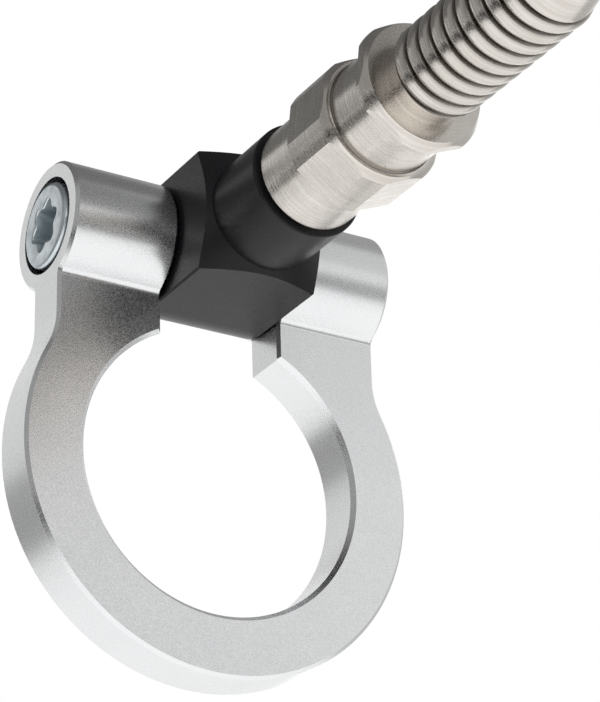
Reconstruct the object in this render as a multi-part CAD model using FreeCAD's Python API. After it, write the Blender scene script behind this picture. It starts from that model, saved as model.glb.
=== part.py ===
import FreeCAD, Part
import math
import os

# A swinging tow eye: a machined ring on a cross bolt, a black swivel block, and a stud turned from hex bar.
# Frame, in millimetres: the stud axis is Y and the screw end points to -Y, the hinge axis runs along X,
# and the ring hangs towards -Z. The origin is on the stud axis, in the face of the stud's seat flange.

# Ring and its two ears
ring_outer_radius = 38.2
eye_radius = 26.9
plate_thickness = 10.0
ear_span = 64.8
ear_gap = 24.0
barrel_radius = 12.0
ear_straight_length = 6.6
ear_root_fillet = 15.0
barrel_root_fillet = 1.4
ring_edge_break = 0.6
eye_edge_break = 0.8

# Swivel block and neck
block_side_clearance = 0.25
block_height = 23.5
block_edge_break = 0.35
block_reach = 21.9
block_corner_reach = 18.1
neck_radius = 10.85
neck_reach = 36.5
neck_edge_round = 0.4

# Hinge bolt, cap head with a six-lobed recess
bolt_radius = 5.0
bolt_length = 50.0
bolt_tip_break = 1.0
head_radius = 8.0
head_height = 10.0
head_edge_break = 0.7
counterbore_radius = 9.0
counterbore_depth = 10.1
ear_bore_clearance = 0.2
pivot_clearance = 0.05
tapped_mouth_break = 1.0
lobe_tip_radius = 4.45
lobe_waist_radius = 3.2
lobe_corner_radius = 0.85
lobe_depth = 5.0
recess_point_depth = 1.6

# Stud, turned from hex bar
hex_across_flats = 22.65
hex_corner_radius = 12.0
hex_turn = -6.5
spigot_radius = 6.0
spigot_length = 17.0
spigot_edge_break = 0.8
drill_point_depth = 3.5
drill_clearance = 0.6
collar_radius = 10.0
collar_length = 12.6
collar_base_break = 1.1
hex_length = 11.7
hex_end_break = 1.0
hex_end_break_length = 1.3
shoulder_radius = 10.15
shoulder_length = 10.2
shoulder_root_fillet = 0.5
flange_thickness = 2.7
flange_face_radius = 10.9
flange_break_length = 2.0
land_radius = 7.5
land_length = 2.9

# Coarse round-crested thread and pilot tip
thread_radius = 8.6
thread_depth = 1.0
thread_pitch = 3.5
thread_length = 33.1
thread_is_left_hand = False
crest_flat = 0.8
crest_drop = 0.4
groove_half_width = 0.5
groove_floor_half_width = 0.14
pilot_length = 8.5
pilot_start_radius = 8.0
pilot_tip_radius = 6.3
pilot_edge_round = 0.8

# How far a cutting tool runs past the material, and how closely two measures agree when edges are picked
tool_overrun = 1.0
match = 1e-4

seat_station = neck_reach + collar_length + hex_length + shoulder_length + flange_thickness
hinge_y = seat_station
half_gap = ear_gap / 2
half_span = ear_span / 2
half_plate = plate_thickness / 2
block_half_width = half_gap - block_side_clearance
fillet_x = half_span + ear_root_fillet
fillet_rise = math.sqrt((ring_outer_radius + ear_root_fillet) ** 2 - fillet_x ** 2)
ring_drop = barrel_radius + ear_straight_length + fillet_rise
x_axis = FreeCAD.Vector(1, 0, 0)
y_axis = FreeCAD.Vector(0, 1, 0)


def hinge_point(x, y, z):
    """A point given from the hinge centre."""
    return FreeCAD.Vector(x, hinge_y + y, z)


def line(start, end):
    return Part.LineSegment(start, end).toShape()


def arc(start, middle, end):
    return Part.Arc(start, middle, end).toShape()


def face_of(edges):
    return Part.Face(Part.Wire(edges))


def closed_outline(points):
    return face_of([line(a, b) for a, b in zip(points, points[1:] + points[:1])])


def rod(radius, x_start, x_end):
    """A cylinder about the hinge axis."""
    return Part.makeCylinder(radius, x_end - x_start, hinge_point(x_start, 0, 0), x_axis)


def point_on(centre, radius, angle):
    """A point on a circle about a line along Y, its angle in radians from +X towards +Z."""
    return centre + FreeCAD.Vector(radius * math.cos(angle), 0, radius * math.sin(angle))


def turned(profile):
    """Turns (radius, station) points about the stud axis; stations run from the hinge to the screw end."""
    points = [FreeCAD.Vector(radius, hinge_y - station, 0) for radius, station in profile]
    return closed_outline(points).revolve(FreeCAD.Vector(0, 0, 0), y_axis, 360)


def circle_edges_at(shape, radius, station):
    """The circular edges of one radius about the stud axis at one station."""
    found = []
    for edge in shape.Edges:
        curve = edge.Curve
        if isinstance(curve, Part.Circle):
            same_radius = abs(curve.Radius - radius) < match
            same_place = abs(curve.Center.y - (hinge_y - station)) < match
            if same_radius and same_place:
                found.append(edge)
    return found


def ring_plate():
    """The flat ring with the lower part of its ears, as one plate."""
    centre = hinge_point(0, -half_plate, -ring_drop)
    plate_top = -barrel_radius
    turn_out = math.atan2(fillet_rise, fillet_x)
    eye_corner_angle = math.acos(half_gap / eye_radius)
    fillet_centre = centre + FreeCAD.Vector(fillet_x, 0, fillet_rise)

    def mirrored(point):
        return FreeCAD.Vector(-point.x, point.y, point.z)

    ear_outer_top = hinge_point(half_span, -half_plate, plate_top)
    ear_inner_top = hinge_point(half_gap, -half_plate, plate_top)
    fillet_top = fillet_centre - FreeCAD.Vector(ear_root_fillet, 0, 0)
    fillet_middle = point_on(fillet_centre, ear_root_fillet, math.pi + turn_out / 2)
    fillet_end = point_on(centre, ring_outer_radius, turn_out)
    ring_bottom = point_on(centre, ring_outer_radius, -math.pi / 2)
    eye_corner = point_on(centre, eye_radius, eye_corner_angle)
    eye_bottom = point_on(centre, eye_radius, -math.pi / 2)
    edges = [
        line(ear_inner_top, ear_outer_top),
        line(ear_outer_top, fillet_top),
        arc(fillet_top, fillet_middle, fillet_end),
        arc(fillet_end, ring_bottom, mirrored(fillet_end)),
        arc(mirrored(fillet_end), mirrored(fillet_middle), mirrored(fillet_top)),
        line(mirrored(fillet_top), mirrored(ear_outer_top)),
        line(mirrored(ear_outer_top), mirrored(ear_inner_top)),
        line(mirrored(ear_inner_top), mirrored(eye_corner)),
        arc(mirrored(eye_corner), eye_bottom, eye_corner),
        line(eye_corner, ear_inner_top),
    ]
    return face_of(edges).extrude(y_axis * plate_thickness)


def ear_barrel(x_start, x_end):
    """One knuckle: a round barrel that runs into the plate through small root fillets."""
    fillet_y = half_plate + barrel_root_fillet
    centre_gap = barrel_radius + barrel_root_fillet
    fillet_z = -math.sqrt(centre_gap ** 2 - fillet_y ** 2)
    touch = barrel_radius / centre_gap
    foot_z = -barrel_radius - barrel_root_fillet

    def side(sign):
        centre = hinge_point(x_start, sign * fillet_y, fillet_z)
        start = hinge_point(x_start, sign * fillet_y * touch, fillet_z * touch)
        end = hinge_point(x_start, sign * half_plate, fillet_z)
        along = (start - centre) + (end - centre)
        along.normalize()
        return start, centre + along * barrel_root_fillet, end

    front_start, front_middle, front_end = side(-1)
    back_start, back_middle, back_end = side(1)
    top = hinge_point(x_start, 0, barrel_radius)
    front_foot = hinge_point(x_start, -half_plate, foot_z)
    back_foot = hinge_point(x_start, half_plate, foot_z)
    edges = [
        arc(front_start, top, back_start),
        arc(back_start, back_middle, back_end),
        line(back_end, back_foot),
        line(back_foot, front_foot),
        line(front_foot, front_end),
        arc(front_end, front_middle, front_start),
    ]
    return face_of(edges).extrude(x_axis * (x_end - x_start))


def side_rim_edges(shape, x_side):
    """The edges in the plane x = x_side, apart from those that cross the plate's thickness."""
    found = []
    for edge in shape.Edges:
        box = edge.BoundBox
        in_plane = abs(box.XMin - x_side) < match and abs(box.XMax - x_side) < match
        crosses_plate = box.ZLength < match
        if in_plane and not crosses_plate:
            found.append(edge)
    return found


def plate_rim_edges(shape):
    """The curved edges of the plate's two faces: around the ring outside, and around the eye."""
    outer = []
    eye = []
    for edge in shape.Edges:
        box = edge.BoundBox
        on_face = box.YLength < match and abs(abs(box.YMin - hinge_y) - half_plate) < match
        if on_face and isinstance(edge.Curve, Part.Circle):
            if abs(edge.Curve.Radius - eye_radius) < match:
                eye.append(edge)
            else:
                outer.append(edge)
    return outer, eye


def tow_ring():
    """The ring and both ears, machined from one plate, with the bolt's seat and its two bores."""
    barrels = ear_barrel(-half_span, -half_gap).fuse(ear_barrel(half_gap, half_span))
    body = ring_plate().fuse(barrels).removeSplitter()
    rims, _ = plate_rim_edges(body)
    for x_side in (-half_span, -half_gap, half_gap, half_span):
        rims += side_rim_edges(body, x_side)
    body = body.makeChamfer(ring_edge_break, rims)
    _, eye = plate_rim_edges(body)
    body = body.makeChamfer(eye_edge_break, eye)
    counterbore = rod(counterbore_radius, -half_span - tool_overrun, -half_span + counterbore_depth)
    clearance_bore = rod(bolt_radius + ear_bore_clearance, -half_span, -half_gap + tool_overrun)
    tapped_bore = rod(bolt_radius, half_gap - tool_overrun, half_span + tool_overrun)
    mouth = Part.makeCone(bolt_radius, bolt_radius + tapped_mouth_break, tapped_mouth_break,
                          hinge_point(half_span - tapped_mouth_break, 0, 0), x_axis)
    return body.cut(counterbore).cut(clearance_bore).cut(tapped_bore).cut(mouth)


def block_bar():
    """The block's bar, flat on five sides and rounded about the hinge at the back."""
    half_height = block_height / 2

    def corner(y, z):
        return hinge_point(-block_half_width, y, z)

    lower_front = corner(-block_reach, -half_height)
    upper_front = corner(-block_reach, half_height)
    lower_back = corner(0, -half_height)
    upper_back = corner(0, half_height)
    outline = face_of([
        line(lower_front, lower_back),
        arc(lower_back, corner(half_height, 0), upper_back),
        line(upper_back, upper_front),
        line(upper_front, lower_front),
    ])
    bar = outline.extrude(x_axis * (2 * block_half_width))
    side_rims = []
    for edge in bar.Edges:
        box = edge.BoundBox
        if box.XLength < match and box.YMax > hinge_y - block_reach + match:
            side_rims.append(edge)
    return bar.makeChamfer(block_edge_break, side_rims)


def swivel_block():
    """The block between the ears, with its corners turned down to a round neck that holds the stud."""
    corner_radius = math.hypot(block_half_width, block_height / 2)
    nose_slope = (block_reach - block_corner_reach) / (corner_radius - neck_radius)
    clear_radius = corner_radius + ear_gap
    clear_station = block_reach - nose_slope * (clear_radius - neck_radius)
    nose = turned([
        (0, -clear_radius), (clear_radius, -clear_radius), (clear_radius, clear_station),
        (neck_radius, block_reach), (0, block_reach),
    ])
    neck = turned([(0, 0), (neck_radius, 0), (neck_radius, neck_reach), (0, neck_reach)])
    neck = neck.makeFillet(neck_edge_round, circle_edges_at(neck, neck_radius, neck_reach))
    body = block_bar().common(nose).fuse(neck).removeSplitter()
    bore_floor = neck_reach - spigot_length - drill_clearance
    spigot_bore = turned([
        (0, bore_floor - drill_point_depth), (spigot_radius, bore_floor),
        (spigot_radius, neck_reach + tool_overrun), (0, neck_reach + tool_overrun),
    ])
    pivot_bore = rod(bolt_radius + pivot_clearance, -half_gap, half_gap)
    return body.cut(spigot_bore).cut(pivot_bore)


def six_lobe_outline(x):
    """A six-lobed socket outline: rounded lobes joined by inward bulges tangent to them."""
    lobe_centre = lobe_tip_radius - lobe_corner_radius
    half_pitch = math.pi / 6
    across = lobe_centre * math.cos(half_pitch)
    chord = lobe_centre ** 2 + lobe_waist_radius ** 2 - 2 * across * lobe_waist_radius
    bulge = (chord - lobe_corner_radius ** 2) / (2 * (lobe_corner_radius + across - lobe_waist_radius))
    bulge_centre = lobe_waist_radius + bulge
    touch = lobe_corner_radius / (lobe_corner_radius + bulge)

    def polar(radius, angle):
        return hinge_point(x, radius * math.cos(angle), radius * math.sin(angle))

    edges = []
    for index in range(6):
        angle = index * 2 * half_pitch
        centre = polar(lobe_centre, angle)
        next_centre = polar(lobe_centre, angle + 2 * half_pitch)
        before = polar(bulge_centre, angle - half_pitch)
        after = polar(bulge_centre, angle + half_pitch)
        start = centre + (before - centre) * touch
        end = centre + (after - centre) * touch
        next_start = next_centre + (after - next_centre) * touch
        edges.append(arc(start, polar(lobe_tip_radius, angle), end))
        edges.append(arc(end, polar(lobe_waist_radius, angle + half_pitch), next_start))
    return face_of(edges)


def hinge_bolt():
    """The cap-head bolt: it seats in the counterbored ear and screws into the tapped one."""
    seat_x = -half_span + counterbore_depth
    head_x = seat_x - head_height
    tip_x = seat_x + bolt_length
    head = rod(head_radius, head_x, seat_x)
    rim = [edge for edge in head.Edges if edge.BoundBox.XMax < head_x + match]
    head = head.makeFillet(head_edge_break, rim)
    shank = rod(bolt_radius, head_x + head_height / 2, tip_x)
    tip = [edge for edge in shank.Edges if edge.BoundBox.XMin > tip_x - match]
    shank = shank.makeChamfer(bolt_tip_break, tip)
    recess = six_lobe_outline(head_x).extrude(x_axis * lobe_depth)
    recess_point = Part.makeCone(lobe_waist_radius, 0, recess_point_depth,
                                 hinge_point(head_x + lobe_depth, 0, 0), x_axis)
    return head.fuse(shank).removeSplitter().cut(recess).cut(recess_point)


def hex_prism(start_station, end_station):
    """A hexagonal bar about the stud axis between two stations."""
    corner = hex_across_flats / 2 / math.cos(math.pi / 6)
    centre = FreeCAD.Vector(0, hinge_y - start_station, 0)
    corners = [point_on(centre, corner, math.radians(hex_turn + 30 + 60 * index)) for index in range(6)]
    return closed_outline(corners).extrude(y_axis * (start_station - end_station))


def thread_groove(start_station, end_station):
    """The cutter for the helical groove: its sides bulge so that the crests left between turns are round."""
    outer = thread_radius + tool_overrun
    crest_edge = thread_radius - crest_drop
    root = thread_radius - thread_depth
    crest_middle = thread_pitch / 2
    crest_half_width = crest_middle - groove_half_width
    half_flat = crest_flat / 2
    crest_rise = thread_radius ** 2 + half_flat ** 2 - crest_edge ** 2 - crest_half_width ** 2
    crest_centre = crest_rise / (2 * (thread_radius - crest_edge))
    crest_radius = math.hypot(thread_radius - crest_centre, half_flat)

    def point(radius, height):
        return FreeCAD.Vector(radius, 0, height)

    def on_crest(from_middle, side):
        radius = crest_centre + math.sqrt(crest_radius ** 2 - from_middle ** 2)
        return point(radius, side * (crest_middle - from_middle))

    def crest_arc(side):
        heights = (half_flat / 2, (half_flat + crest_half_width) / 2, crest_half_width)
        return [on_crest(height, side) for height in heights]

    lower = crest_arc(-1)
    upper = crest_arc(1)
    section = Part.Wire([
        line(point(outer, lower[0].z), lower[0]),
        arc(*lower),
        line(lower[2], point(root, -groove_floor_half_width)),
        line(point(root, -groove_floor_half_width), point(root, groove_floor_half_width)),
        line(point(root, groove_floor_half_width), upper[2]),
        arc(*reversed(upper)),
        line(upper[0], point(outer, upper[0].z)),
        line(point(outer, upper[0].z), point(outer, lower[0].z)),
    ])
    helix = Part.makeHelix(thread_pitch, end_station - start_station, thread_radius, 0, thread_is_left_hand)
    groove = Part.Wire(helix.Edges).makePipeShell([section], True, True)
    groove.rotate(FreeCAD.Vector(0, 0, 0), x_axis, 90)
    groove.translate(FreeCAD.Vector(0, hinge_y - start_station, 0))
    first = start_station - thread_pitch
    last = end_station + thread_pitch
    envelope = turned([(0, first), (thread_radius, first), (thread_radius, last), (0, last)])
    return groove.common(envelope)


def screw_end(start_station):
    """The plain land, the threaded stretch and the tapered pilot tip, from a station to the end."""
    thread_start = start_station + land_length
    pilot_start = thread_start + thread_length
    tip = pilot_start + pilot_length
    blank = turned([
        (0, start_station), (land_radius, start_station), (land_radius, thread_start),
        (thread_radius, thread_start + thread_radius - land_radius), (thread_radius, pilot_start),
        (pilot_start_radius, pilot_start + thread_radius - pilot_start_radius),
        (pilot_tip_radius, tip), (0, tip),
    ])
    blank = blank.makeFillet(pilot_edge_round, circle_edges_at(blank, pilot_tip_radius, tip))
    lead_in = (thread_pitch - crest_flat) / 2
    return blank.cut(thread_groove(thread_start - lead_in, pilot_start + thread_pitch))


def threaded_stud():
    hex_start = neck_reach + collar_length
    shoulder_start = hex_start + hex_length
    flange_start = shoulder_start + shoulder_length
    land_start = flange_start + flange_thickness
    spigot_end = neck_reach - spigot_length
    hex_face_radius = hex_corner_radius - hex_end_break

    core = turned([
        (0, spigot_end), (spigot_radius - spigot_edge_break, spigot_end),
        (spigot_radius, spigot_end + spigot_edge_break), (spigot_radius, neck_reach),
        (collar_radius - collar_base_break, neck_reach),
        (collar_radius, neck_reach + collar_base_break), (collar_radius, hex_start),
        (hex_face_radius, hex_start), (hex_face_radius, shoulder_start),
        (shoulder_radius, shoulder_start), (shoulder_radius, flange_start),
        (flange_face_radius, flange_start), (flange_face_radius, land_start), (0, land_start),
    ])
    core = core.makeFillet(shoulder_root_fillet, circle_edges_at(core, shoulder_radius, shoulder_start))
    hex_body = turned([
        (0, hex_start), (hex_corner_radius, hex_start),
        (hex_corner_radius, shoulder_start - hex_end_break_length),
        (hex_face_radius, shoulder_start), (0, shoulder_start),
    ]).common(hex_prism(hex_start, shoulder_start))
    flange = turned([
        (0, flange_start), (hex_corner_radius, flange_start),
        (hex_corner_radius, land_start - flange_break_length),
        (flange_face_radius, land_start), (0, land_start),
    ]).common(hex_prism(flange_start, land_start))
    body = core.fuse(hex_body).fuse(flange).removeSplitter()
    return body.fuse(screw_end(land_start))


def main():
    os.makedirs("parts", exist_ok=True)
    pieces = {
        "tow_ring": tow_ring(),
        "swivel_block": swivel_block(),
        "hinge_bolt": hinge_bolt(),
        "threaded_stud": threaded_stud(),
    }
    for name, shape in pieces.items():
        solids = len(shape.Solids)
        print(name, "solids", solids, "valid", shape.isValid(), "volume", round(shape.Volume, 1))
        shape.exportStep("parts/" + name + ".step")


main()
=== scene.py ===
import math

import bpy
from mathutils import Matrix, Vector


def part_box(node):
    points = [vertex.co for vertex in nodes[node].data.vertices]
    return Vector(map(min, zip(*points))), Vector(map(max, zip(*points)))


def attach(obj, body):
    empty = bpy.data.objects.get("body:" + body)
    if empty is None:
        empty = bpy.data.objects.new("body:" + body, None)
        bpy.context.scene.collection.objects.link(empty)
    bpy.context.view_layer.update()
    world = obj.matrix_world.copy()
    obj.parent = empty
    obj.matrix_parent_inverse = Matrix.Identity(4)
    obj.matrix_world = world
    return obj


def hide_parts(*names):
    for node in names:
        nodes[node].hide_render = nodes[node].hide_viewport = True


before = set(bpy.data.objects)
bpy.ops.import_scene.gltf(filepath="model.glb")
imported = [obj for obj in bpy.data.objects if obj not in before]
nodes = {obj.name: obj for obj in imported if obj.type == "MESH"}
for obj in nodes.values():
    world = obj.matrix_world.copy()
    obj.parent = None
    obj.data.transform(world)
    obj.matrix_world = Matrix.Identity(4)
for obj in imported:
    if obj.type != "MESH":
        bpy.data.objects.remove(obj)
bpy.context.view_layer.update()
print("frame loaded:", sorted(nodes))


# Node helpers

# where a colour mix node keeps its share, its two colours and its result
mixSlots = {"share": 0, "first": 6, "second": 7, "result": 2}


def freshMaterial(name):
    material = bpy.data.materials.new(name)
    material.use_nodes = True
    tree = material.node_tree
    return material, tree, tree.nodes["Principled BSDF"]


def addNode(tree, kind, **settings):
    node = tree.nodes.new(kind)
    for key, value in settings.items():
        setattr(node, key, value)
    return node


def setInputs(node, **values):
    for key, value in values.items():
        node.inputs[key].default_value = value


def feed(tree, slot, value):
    # another node's output is linked, and a plain value is set
    if isinstance(value, bpy.types.NodeSocket):
        tree.links.new(value, slot)
    else:
        slot.default_value = value


def objectPoint(tree):
    return addNode(tree, "ShaderNodeTexCoord").outputs["Object"]


def noise(tree, point, look):
    node = addNode(tree, "ShaderNodeTexNoise")
    tree.links.new(point, node.inputs["Vector"])
    setInputs(node, Scale=look["scale"], Detail=look["detail"], Roughness=look["roughness"])
    return node.outputs["Fac"]


def mapRange(tree, value, fromSpan, toSpan):
    node = addNode(tree, "ShaderNodeMapRange")
    tree.links.new(value, node.inputs["Value"])
    keys = ("From Min", "From Max", "To Min", "To Max")
    for key, number in zip(keys, (*fromSpan, *toSpan)):
        node.inputs[key].default_value = number
    return node.outputs["Result"]


def maths(tree, operation, *values):
    node = addNode(tree, "ShaderNodeMath", operation=operation)
    for slot, value in zip(node.inputs, values):
        feed(tree, slot, value)
    return node.outputs["Value"]


def mixColours(tree, share, first, second):
    node = addNode(tree, "ShaderNodeMix", data_type="RGBA")
    feed(tree, node.inputs[mixSlots["share"]], share)
    feed(tree, node.inputs[mixSlots["first"]], first)
    feed(tree, node.inputs[mixSlots["second"]], second)
    return node.outputs[mixSlots["result"]]


def bump(tree, height, strength, distance, below=None):
    node = addNode(tree, "ShaderNodeBump")
    tree.links.new(height, node.inputs["Height"])
    setInputs(node, Strength=strength, Distance=distance)
    if below is not None:
        tree.links.new(below, node.inputs["Normal"])
    return node.outputs["Normal"]


def wire(tree, shader, look, colour, rough, normal):
    tree.links.new(colour, shader.inputs["Base Color"])
    tree.links.new(rough, shader.inputs["Roughness"])
    tree.links.new(normal, shader.inputs["Normal"])
    setInputs(shader, Metallic=look["metallic"])
    shader.inputs["Specular IOR Level"].default_value = look["specular"]


def plainCoat(look):
    # colour follows the cloud, the bump follows the grain, and the roughness follows the one that is named
    material, tree, shader = freshMaterial(look["name"])
    point = objectPoint(tree)
    patterns = {key: noise(tree, point, look[key]) for key in ("grain", "cloud")}
    colour = mixColours(tree, patterns["cloud"], look["dull"], look["pale"])
    rough = mapRange(tree, patterns[look["roughBy"]], look["roughFrom"], look["rough"])
    normal = bump(tree, patterns["grain"], look["grainStrength"], look["grainHeight"])
    wire(tree, shader, look, colour, rough, normal)
    return material


def dress(node, material):
    slots = nodes[node].data.materials
    slots.clear()
    slots.append(material)


# Ring and block

ringFinish = {
    "name": "satin aluminium",
    "pale": (0.90, 0.905, 0.91, 1),
    "dull": (0.82, 0.825, 0.835, 1),
    "cloud": {"scale": 60, "detail": 3.0, "roughness": 0.55},
    "grain": {"scale": 3400, "detail": 3.0, "roughness": 0.6},
    "grainStrength": 0.6,
    "grainHeight": 0.000005,
    "roughBy": "grain",
    "roughFrom": (0.35, 0.65),
    "rough": (0.22, 0.34),
    "metallic": 1.0,
    "specular": 0.5,
}

blockFinish = {
    "name": "black anodised",
    "pale": (0.007, 0.007, 0.009, 1),
    "dull": (0.003, 0.003, 0.004, 1),
    "cloud": {"scale": 90, "detail": 3.0, "roughness": 0.55},
    "grain": {"scale": 4200, "detail": 3.0, "roughness": 0.6},
    "grainStrength": 0.5,
    "grainHeight": 0.000015,
    "roughBy": "grain",
    "roughFrom": (0.35, 0.65),
    "rough": (0.26, 0.40),
    "metallic": 0.0,
    "specular": 0.34,
}

dress("tow_ring", plainCoat(ringFinish))
dress("swivel_block", plainCoat(blockFinish))
print("ring and block dressed")


# Stud: turned lines along its axis, and painted shade down in the thread's grooves and where the shoulder,
# flange and hexagon rise from the bar

studFinish = {
    "name": "nickel plate",
    "pale": (0.84, 0.80, 0.75, 1),
    "dull": (0.60, 0.56, 0.515, 1),
    # painted shade colour, laid into the thread's grooves and the roots of the shoulder, flange and hexagon
    "paintedShade": (0.15, 0.135, 0.12, 1),
    "cloud": {"scale": 110, "detail": 3.0, "roughness": 0.55},
    "cloudFrom": (0.3, 0.7),
    "cloudShare": (0.4, 1.0),
    "turn": {"scale": 1900, "detail": 3.0, "roughness": 0.7},
    "turnStretch": (0.02, 1.0, 0.02),
    "turnFrom": (0.35, 0.65),
    "turnShare": (0.3, 1.0),
    "turnStrength": 0.5,
    "turnHeight": 0.00009,
    "grain": {"scale": 2600, "detail": 3.0, "roughness": 0.6},
    "grainStrength": 0.5,
    "grainHeight": 0.00002,
    "roughFrom": (0.3, 0.7),
    "rough": (0.17, 0.30),
    "metallic": 1.0,
    "specular": 0.5,
    "grooveToCrest": (0.0079, 0.0085),
    "threadFrom": -0.0034,
    "threadTo": -0.0362,
    "roots": (0.0027, 0.0129, 0.0246),
    "rootWidth": 0.0012,
    "rootRadius": 0.0104,
}


def axisDistance(tree, parts):
    flat = addNode(tree, "ShaderNodeCombineXYZ")
    for key in ("X", "Z"):
        tree.links.new(parts.outputs[key], flat.inputs[key])
    reach = addNode(tree, "ShaderNodeVectorMath", operation="LENGTH")
    tree.links.new(flat.outputs["Vector"], reach.inputs[0])
    return reach.outputs["Value"]


def unshadedShare(tree, point, look):
    # share of the plated colour against the painted shade: 0 down in the thread's groove and where the
    # shoulder, flange and hexagon rise from the bar, 1 elsewhere
    parts = addNode(tree, "ShaderNodeSeparateXYZ")
    tree.links.new(point, parts.inputs["Vector"])
    along = parts.outputs["Y"]
    radius = axisDistance(tree, parts)
    share = mapRange(tree, radius, look["grooveToCrest"], (0, 1))
    share = maths(tree, "MAXIMUM", share, maths(tree, "GREATER_THAN", along, look["threadFrom"]))
    share = maths(tree, "MAXIMUM", share, maths(tree, "LESS_THAN", along, look["threadTo"]))
    outside = maths(tree, "GREATER_THAN", radius, look["rootRadius"])
    for root in look["roots"]:
        away = maths(tree, "ABSOLUTE", maths(tree, "SUBTRACT", along, root))
        clear = maths(tree, "MAXIMUM", mapRange(tree, away, (0, look["rootWidth"]), (0, 1)), outside)
        share = maths(tree, "MINIMUM", share, clear)
    return share


def turnedLines(tree, point, look):
    stretched = addNode(tree, "ShaderNodeMapping")
    tree.links.new(point, stretched.inputs["Vector"])
    setInputs(stretched, Scale=look["turnStretch"])
    return noise(tree, stretched.outputs["Vector"], look["turn"])


def turnedCoat(look):
    material, tree, shader = freshMaterial(look["name"])
    point = objectPoint(tree)
    lines = turnedLines(tree, point, look)
    grain = noise(tree, point, look["grain"])
    clouded = mapRange(tree, noise(tree, point, look["cloud"]), look["cloudFrom"], look["cloudShare"])
    turned = mapRange(tree, lines, look["turnFrom"], look["turnShare"])
    plated = mixColours(tree, maths(tree, "MULTIPLY", clouded, turned), look["dull"], look["pale"])
    # the plated colour gives way to painted shade in the grooves and at the roots
    colour = mixColours(tree, unshadedShare(tree, point, look), look["paintedShade"], plated)
    rough = mapRange(tree, grain, look["roughFrom"], look["rough"])
    grained = bump(tree, grain, look["grainStrength"], look["grainHeight"])
    normal = bump(tree, lines, look["turnStrength"], look["turnHeight"], grained)
    wire(tree, shader, look, colour, rough, normal)
    return material


dress("threaded_stud", turnedCoat(studFinish))
print("stud dressed")


# Hinge bolt: its head stands a little proud of the ear, with a rounded rim and a deep six-lobed socket

boltFinish = {
    "name": "zinc plate",
    "pale": (0.80, 0.86, 0.88, 1),
    "dull": (0.57, 0.63, 0.66, 1),
    "cloud": {"scale": 420, "detail": 4.0, "roughness": 0.6},
    "grain": {"scale": 2600, "detail": 3.0, "roughness": 0.6},
    "grainStrength": 0.5,
    "grainHeight": 0.00003,
    "roughBy": "cloud",
    "roughFrom": (0.3, 0.7),
    "rough": (0.45, 0.22),
    "metallic": 1.0,
    "specular": 0.5,
}

boltLook = {
    "headRadius": 0.008,
    "headHeight": 0.0107,
    "rimRound": 0.0009,
    "rimSteps": 5,
    "shankRadius": 0.005,
    "shankLength": 0.050,
    "shankInHead": 0.00125,
    "tipBreak": 0.001,
    "tipSteps": 1,
    "lobes": 6,
    "lobeTip": 0.0049,
    "lobeWaist": 0.0037,
    "lobeTurn": -10,
    "socketDepth": 0.005,
    "socketOverrun": 0.00125,
    "mouthRound": 0.00035,
    "mouthSteps": 3,
    "sides": 96,
    "sameSpot": 0.000035,
    "smoothAngle": 35,
}


def addRod(name, radius, startX, endX, centre, sides):
    bpy.ops.object.select_all(action="DESELECT")
    middle = ((startX + endX) / 2, centre[1], centre[2])
    bpy.ops.mesh.primitive_cylinder_add(
        vertices=sides, radius=radius, depth=endX - startX, location=middle, rotation=(0, math.pi / 2, 0))
    bpy.ops.object.transform_apply(location=True, rotation=True, scale=True)
    rodPiece = bpy.context.object
    rodPiece.name = name
    return rodPiece


def pickEdges(piece, wanted):
    bpy.ops.object.mode_set(mode="EDIT")
    bpy.ops.mesh.select_mode(type="EDGE")
    bpy.ops.mesh.select_all(action="DESELECT")
    bpy.ops.object.mode_set(mode="OBJECT")
    points = piece.data.vertices
    for edge in piece.data.edges:
        edge.select = all(wanted(points[index].co) for index in edge.vertices)


def bevelEdges(piece, wanted, offset, segments):
    pickEdges(piece, wanted)
    bpy.ops.object.mode_set(mode="EDIT")
    bpy.ops.mesh.bevel(offset=offset, segments=segments)
    bpy.ops.object.mode_set(mode="OBJECT")


def carve(piece, tool, operation):
    bpy.ops.object.select_all(action="DESELECT")
    piece.select_set(True)
    bpy.context.view_layer.objects.active = piece
    step = piece.modifiers.new("carve", "BOOLEAN")
    step.operation = operation
    step.solver = "EXACT"
    step.object = tool
    bpy.ops.object.modifier_apply(modifier=step.name)
    bpy.data.objects.remove(tool, do_unlink=True)


def addSocketTool(look, faceX, centre):
    # a rod of radius 1, whose points are then drawn in to the six-lobed outline
    startX = faceX - look["socketOverrun"]
    tool = addRod("socket tool", 1, startX, faceX + look["socketDepth"], centre, look["sides"])
    middle = (look["lobeTip"] + look["lobeWaist"]) / 2
    swing = (look["lobeTip"] - look["lobeWaist"]) / 2
    turn = math.radians(look["lobeTurn"])
    for vertex in tool.data.vertices:
        angle = math.atan2(vertex.co.z - centre[2], vertex.co.y - centre[1])
        reach = middle + swing * math.cos(look["lobes"] * (angle - turn))
        vertex.co.y = centre[1] + reach * math.cos(angle)
        vertex.co.z = centre[2] + reach * math.sin(angle)
    return tool


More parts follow.
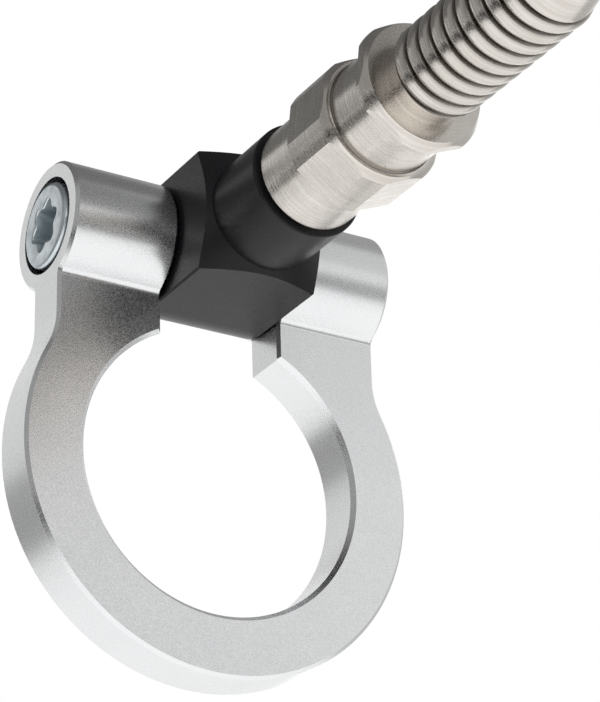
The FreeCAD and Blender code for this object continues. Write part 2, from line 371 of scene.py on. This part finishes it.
def addHingeBolt(look):
    boltLow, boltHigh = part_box("hinge_bolt")
    centre = [(a + b) / 2 for a, b in zip(boltLow, boltHigh)]
    tipX = boltHigh[0]
    seatX = tipX - look["shankLength"]
    faceX = seatX - look["headHeight"]

    def onTip(point):
        return abs(point.x - tipX) < look["sameSpot"]

    def onFace(point):
        return abs(point.x - faceX) < look["sameSpot"]

    def onMouth(point):
        reach = math.hypot(point.y - centre[1], point.z - centre[2])
        return onFace(point) and reach < look["lobeTip"] + look["sameSpot"]

    shank = addRod("shank", look["shankRadius"], seatX - look["shankInHead"], tipX, centre, look["sides"])
    bevelEdges(shank, onTip, look["tipBreak"], look["tipSteps"])
    bolt = addRod("hinge_bolt_shown", look["headRadius"], faceX, seatX, centre, look["sides"])
    bevelEdges(bolt, onFace, look["rimRound"], look["rimSteps"])
    carve(bolt, shank, "UNION")
    carve(bolt, addSocketTool(look, faceX, centre), "DIFFERENCE")
    bevelEdges(bolt, onMouth, look["mouthRound"], look["mouthSteps"])
    bpy.ops.object.shade_smooth_by_angle(angle=math.radians(look["smoothAngle"]))
    bolt.data.materials.clear()
    bolt.data.materials.append(plainCoat(boltFinish))
    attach(bolt, "ring")
    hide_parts("hinge_bolt")


addHingeBolt(boltLook)
print("hinge bolt made")


# Stage: a pale floor well below, glowing cards that only reflections show, and one soft lamp

stageSet = {
    "floorHeight": -0.42,
    "floorSize": 60.0,
    "floorColour": (0.88, 0.88, 0.88, 1),
    "floorRoughness": 0.9,
    "floorGlow": 0.30,
    "white": (1, 1, 1, 1),
    "worldOnSurfaces": 0.7,
    "worldSeen": 1.0,
    "middle": (0, 0.02, -0.02),
}

# azimuth is turned from +Y towards +X, and all four angles are in degrees
cards = {
    "ceiling": {"azimuth": 0, "elevation": 88, "wide": 96, "tall": 96, "far": 1.10, "bright": 0.35},
    "ceilingNear": {"azimuth": -39, "elevation": 69, "wide": 62, "tall": 71, "far": 0.18, "bright": 0.15},
    "frontNear": {"azimuth": 180, "elevation": 53, "wide": 54, "tall": 52, "far": 0.225, "bright": 0.18},
    "frontHigh": {"azimuth": 150, "elevation": 44, "wide": 90, "tall": 40, "far": 0.80, "bright": 0.65},
    "frontSoftbox": {"azimuth": 148, "elevation": 16, "wide": 76, "tall": 19, "far": 0.70, "bright": 0.82},
    "frontLow": {"azimuth": 182, "elevation": -7, "wide": 65, "tall": 28, "far": 0.47, "bright": 0.16},
    "frontLowRight": {"azimuth": 118, "elevation": -7, "wide": 62, "tall": 28, "far": 0.60, "bright": 0.42},
    "leftHigh": {"azimuth": -92, "elevation": 28, "wide": 104, "tall": 62, "far": 0.95, "bright": 0.33},
    "leftLow": {"azimuth": -90, "elevation": -15, "wide": 104, "tall": 20, "far": 0.85, "bright": 0.04},
    "backLeft": {"azimuth": -22, "elevation": 23, "wide": 32, "tall": 26, "far": 0.90, "bright": 0.74},
    "backHigh": {"azimuth": 10, "elevation": 52, "wide": 90, "tall": 34, "far": 1.00, "bright": 0.35},
    "backLeftLow": {"azimuth": -24, "elevation": -1, "wide": 36, "tall": 22, "far": 0.88, "bright": 0.36},
    "backStrip": {"azimuth": 36, "elevation": 16, "wide": 11, "tall": 20, "far": 0.90, "bright": 2.0},
    "right": {"azimuth": 78, "elevation": 8, "wide": 44, "tall": 60, "far": 0.90, "bright": 0.55},
}


def cardMaterial(name, bright):
    material, tree, shader = freshMaterial(name)
    tree.nodes.remove(shader)
    glow = addNode(tree, "ShaderNodeEmission")
    setInputs(glow, Strength=bright)
    tree.links.new(glow.outputs["Emission"], tree.nodes["Material Output"].inputs["Surface"])
    return material


def cardSide(look, key):
    return 2 * look["far"] * math.tan(math.radians(look[key] / 2))


def addCard(name, look):
    azimuth = math.radians(look["azimuth"])
    elevation = math.radians(look["elevation"])
    level = math.cos(elevation)
    outward = Vector((level * math.sin(azimuth), level * math.cos(azimuth), math.sin(elevation)))
    bpy.ops.object.select_all(action="DESELECT")
    bpy.ops.mesh.primitive_plane_add(size=1)
    card = bpy.context.object
    card.name = name
    card.scale = (cardSide(look, "wide"), cardSide(look, "tall"), 1)
    card.location = Vector(stageSet["middle"]) + look["far"] * outward
    card.rotation_mode = "QUATERNION"
    card.rotation_quaternion = (-outward).to_track_quat("Z", "Y")
    card.data.materials.append(cardMaterial(name, look["bright"]))
    card.visible_camera = False
    card.visible_diffuse = False
    card.visible_shadow = False


def seenDirectly(tree):
    # 1 for what the camera and the reflections see, 0 for the light that falls on matt surfaces
    path = addNode(tree, "ShaderNodeLightPath")
    share = path.outputs["Is Camera Ray"]
    for ray in ("Is Glossy Ray", "Is Transmission Ray"):
        share = maths(tree, "MAXIMUM", share, path.outputs[ray])
    return share


def addFloor(look):
    bpy.ops.object.select_all(action="DESELECT")
    bpy.ops.mesh.primitive_plane_add(size=look["floorSize"], location=(0, 0, look["floorHeight"]))
    floor = bpy.context.object
    floor.name = "floor"
    material, tree, shader = freshMaterial("pale floor")
    setInputs(shader, Roughness=look["floorRoughness"])
    shader.inputs["Base Color"].default_value = look["floorColour"]
    shader.inputs["Emission Color"].default_value = look["white"]
    glow = mapRange(tree, seenDirectly(tree), (0, 1), (0, look["floorGlow"]))
    tree.links.new(glow, shader.inputs["Emission Strength"])
    floor.data.materials.append(material)


def addWorld(look):
    world = bpy.data.worlds.new("studio")
    world.use_nodes = True
    bpy.context.scene.world = world
    tree = world.node_tree
    background = tree.nodes["Background"]
    setInputs(background, Color=look["white"])
    strength = mapRange(tree, seenDirectly(tree), (0, 1), (look["worldOnSurfaces"], look["worldSeen"]))
    tree.links.new(strength, background.inputs["Strength"])


lampSet = {
    "place": (-0.35, -0.55, 0.85),
    "size": 0.6,
    "power": 4,
}


def addLamp(look):
    light = bpy.data.lights.new("soft lamp", "AREA")
    light.shape = "SQUARE"
    light.size = look["size"]
    light.energy = look["power"]
    lamp = bpy.data.objects.new("soft lamp", light)
    bpy.context.scene.collection.objects.link(lamp)
    lamp.location = look["place"]
    lamp.rotation_mode = "QUATERNION"
    lamp.rotation_quaternion = (Vector(stageSet["middle"]) - lamp.location).to_track_quat("-Z", "Y")
    lamp.visible_glossy = False


addFloor(stageSet)
addWorld(stageSet)
for cardName, cardLook in cards.items():
    addCard(cardName, cardLook)
addLamp(lampSet)
print("stage set")


# Camera

view = {
    "lens": 141.27,
    "sensorWidth": 36,
    "clipStart": 0.01,
    "place": (-0.22068, -0.32013, -0.23055),
    "turn": (115.2226, 1.4476, -30.7160),
}


def addCamera(look):
    camera = bpy.data.cameras.new("camera")
    camera.lens = look["lens"]
    camera.sensor_width = look["sensorWidth"]
    camera.clip_start = look["clipStart"]
    holder = bpy.data.objects.new("camera", camera)
    bpy.context.scene.collection.objects.link(holder)
    holder.location = look["place"]
    holder.rotation_euler = [math.radians(angle) for angle in look["turn"]]
    bpy.context.scene.camera = holder


addCamera(view)
bpy.context.scene.view_settings.view_transform = "Standard"
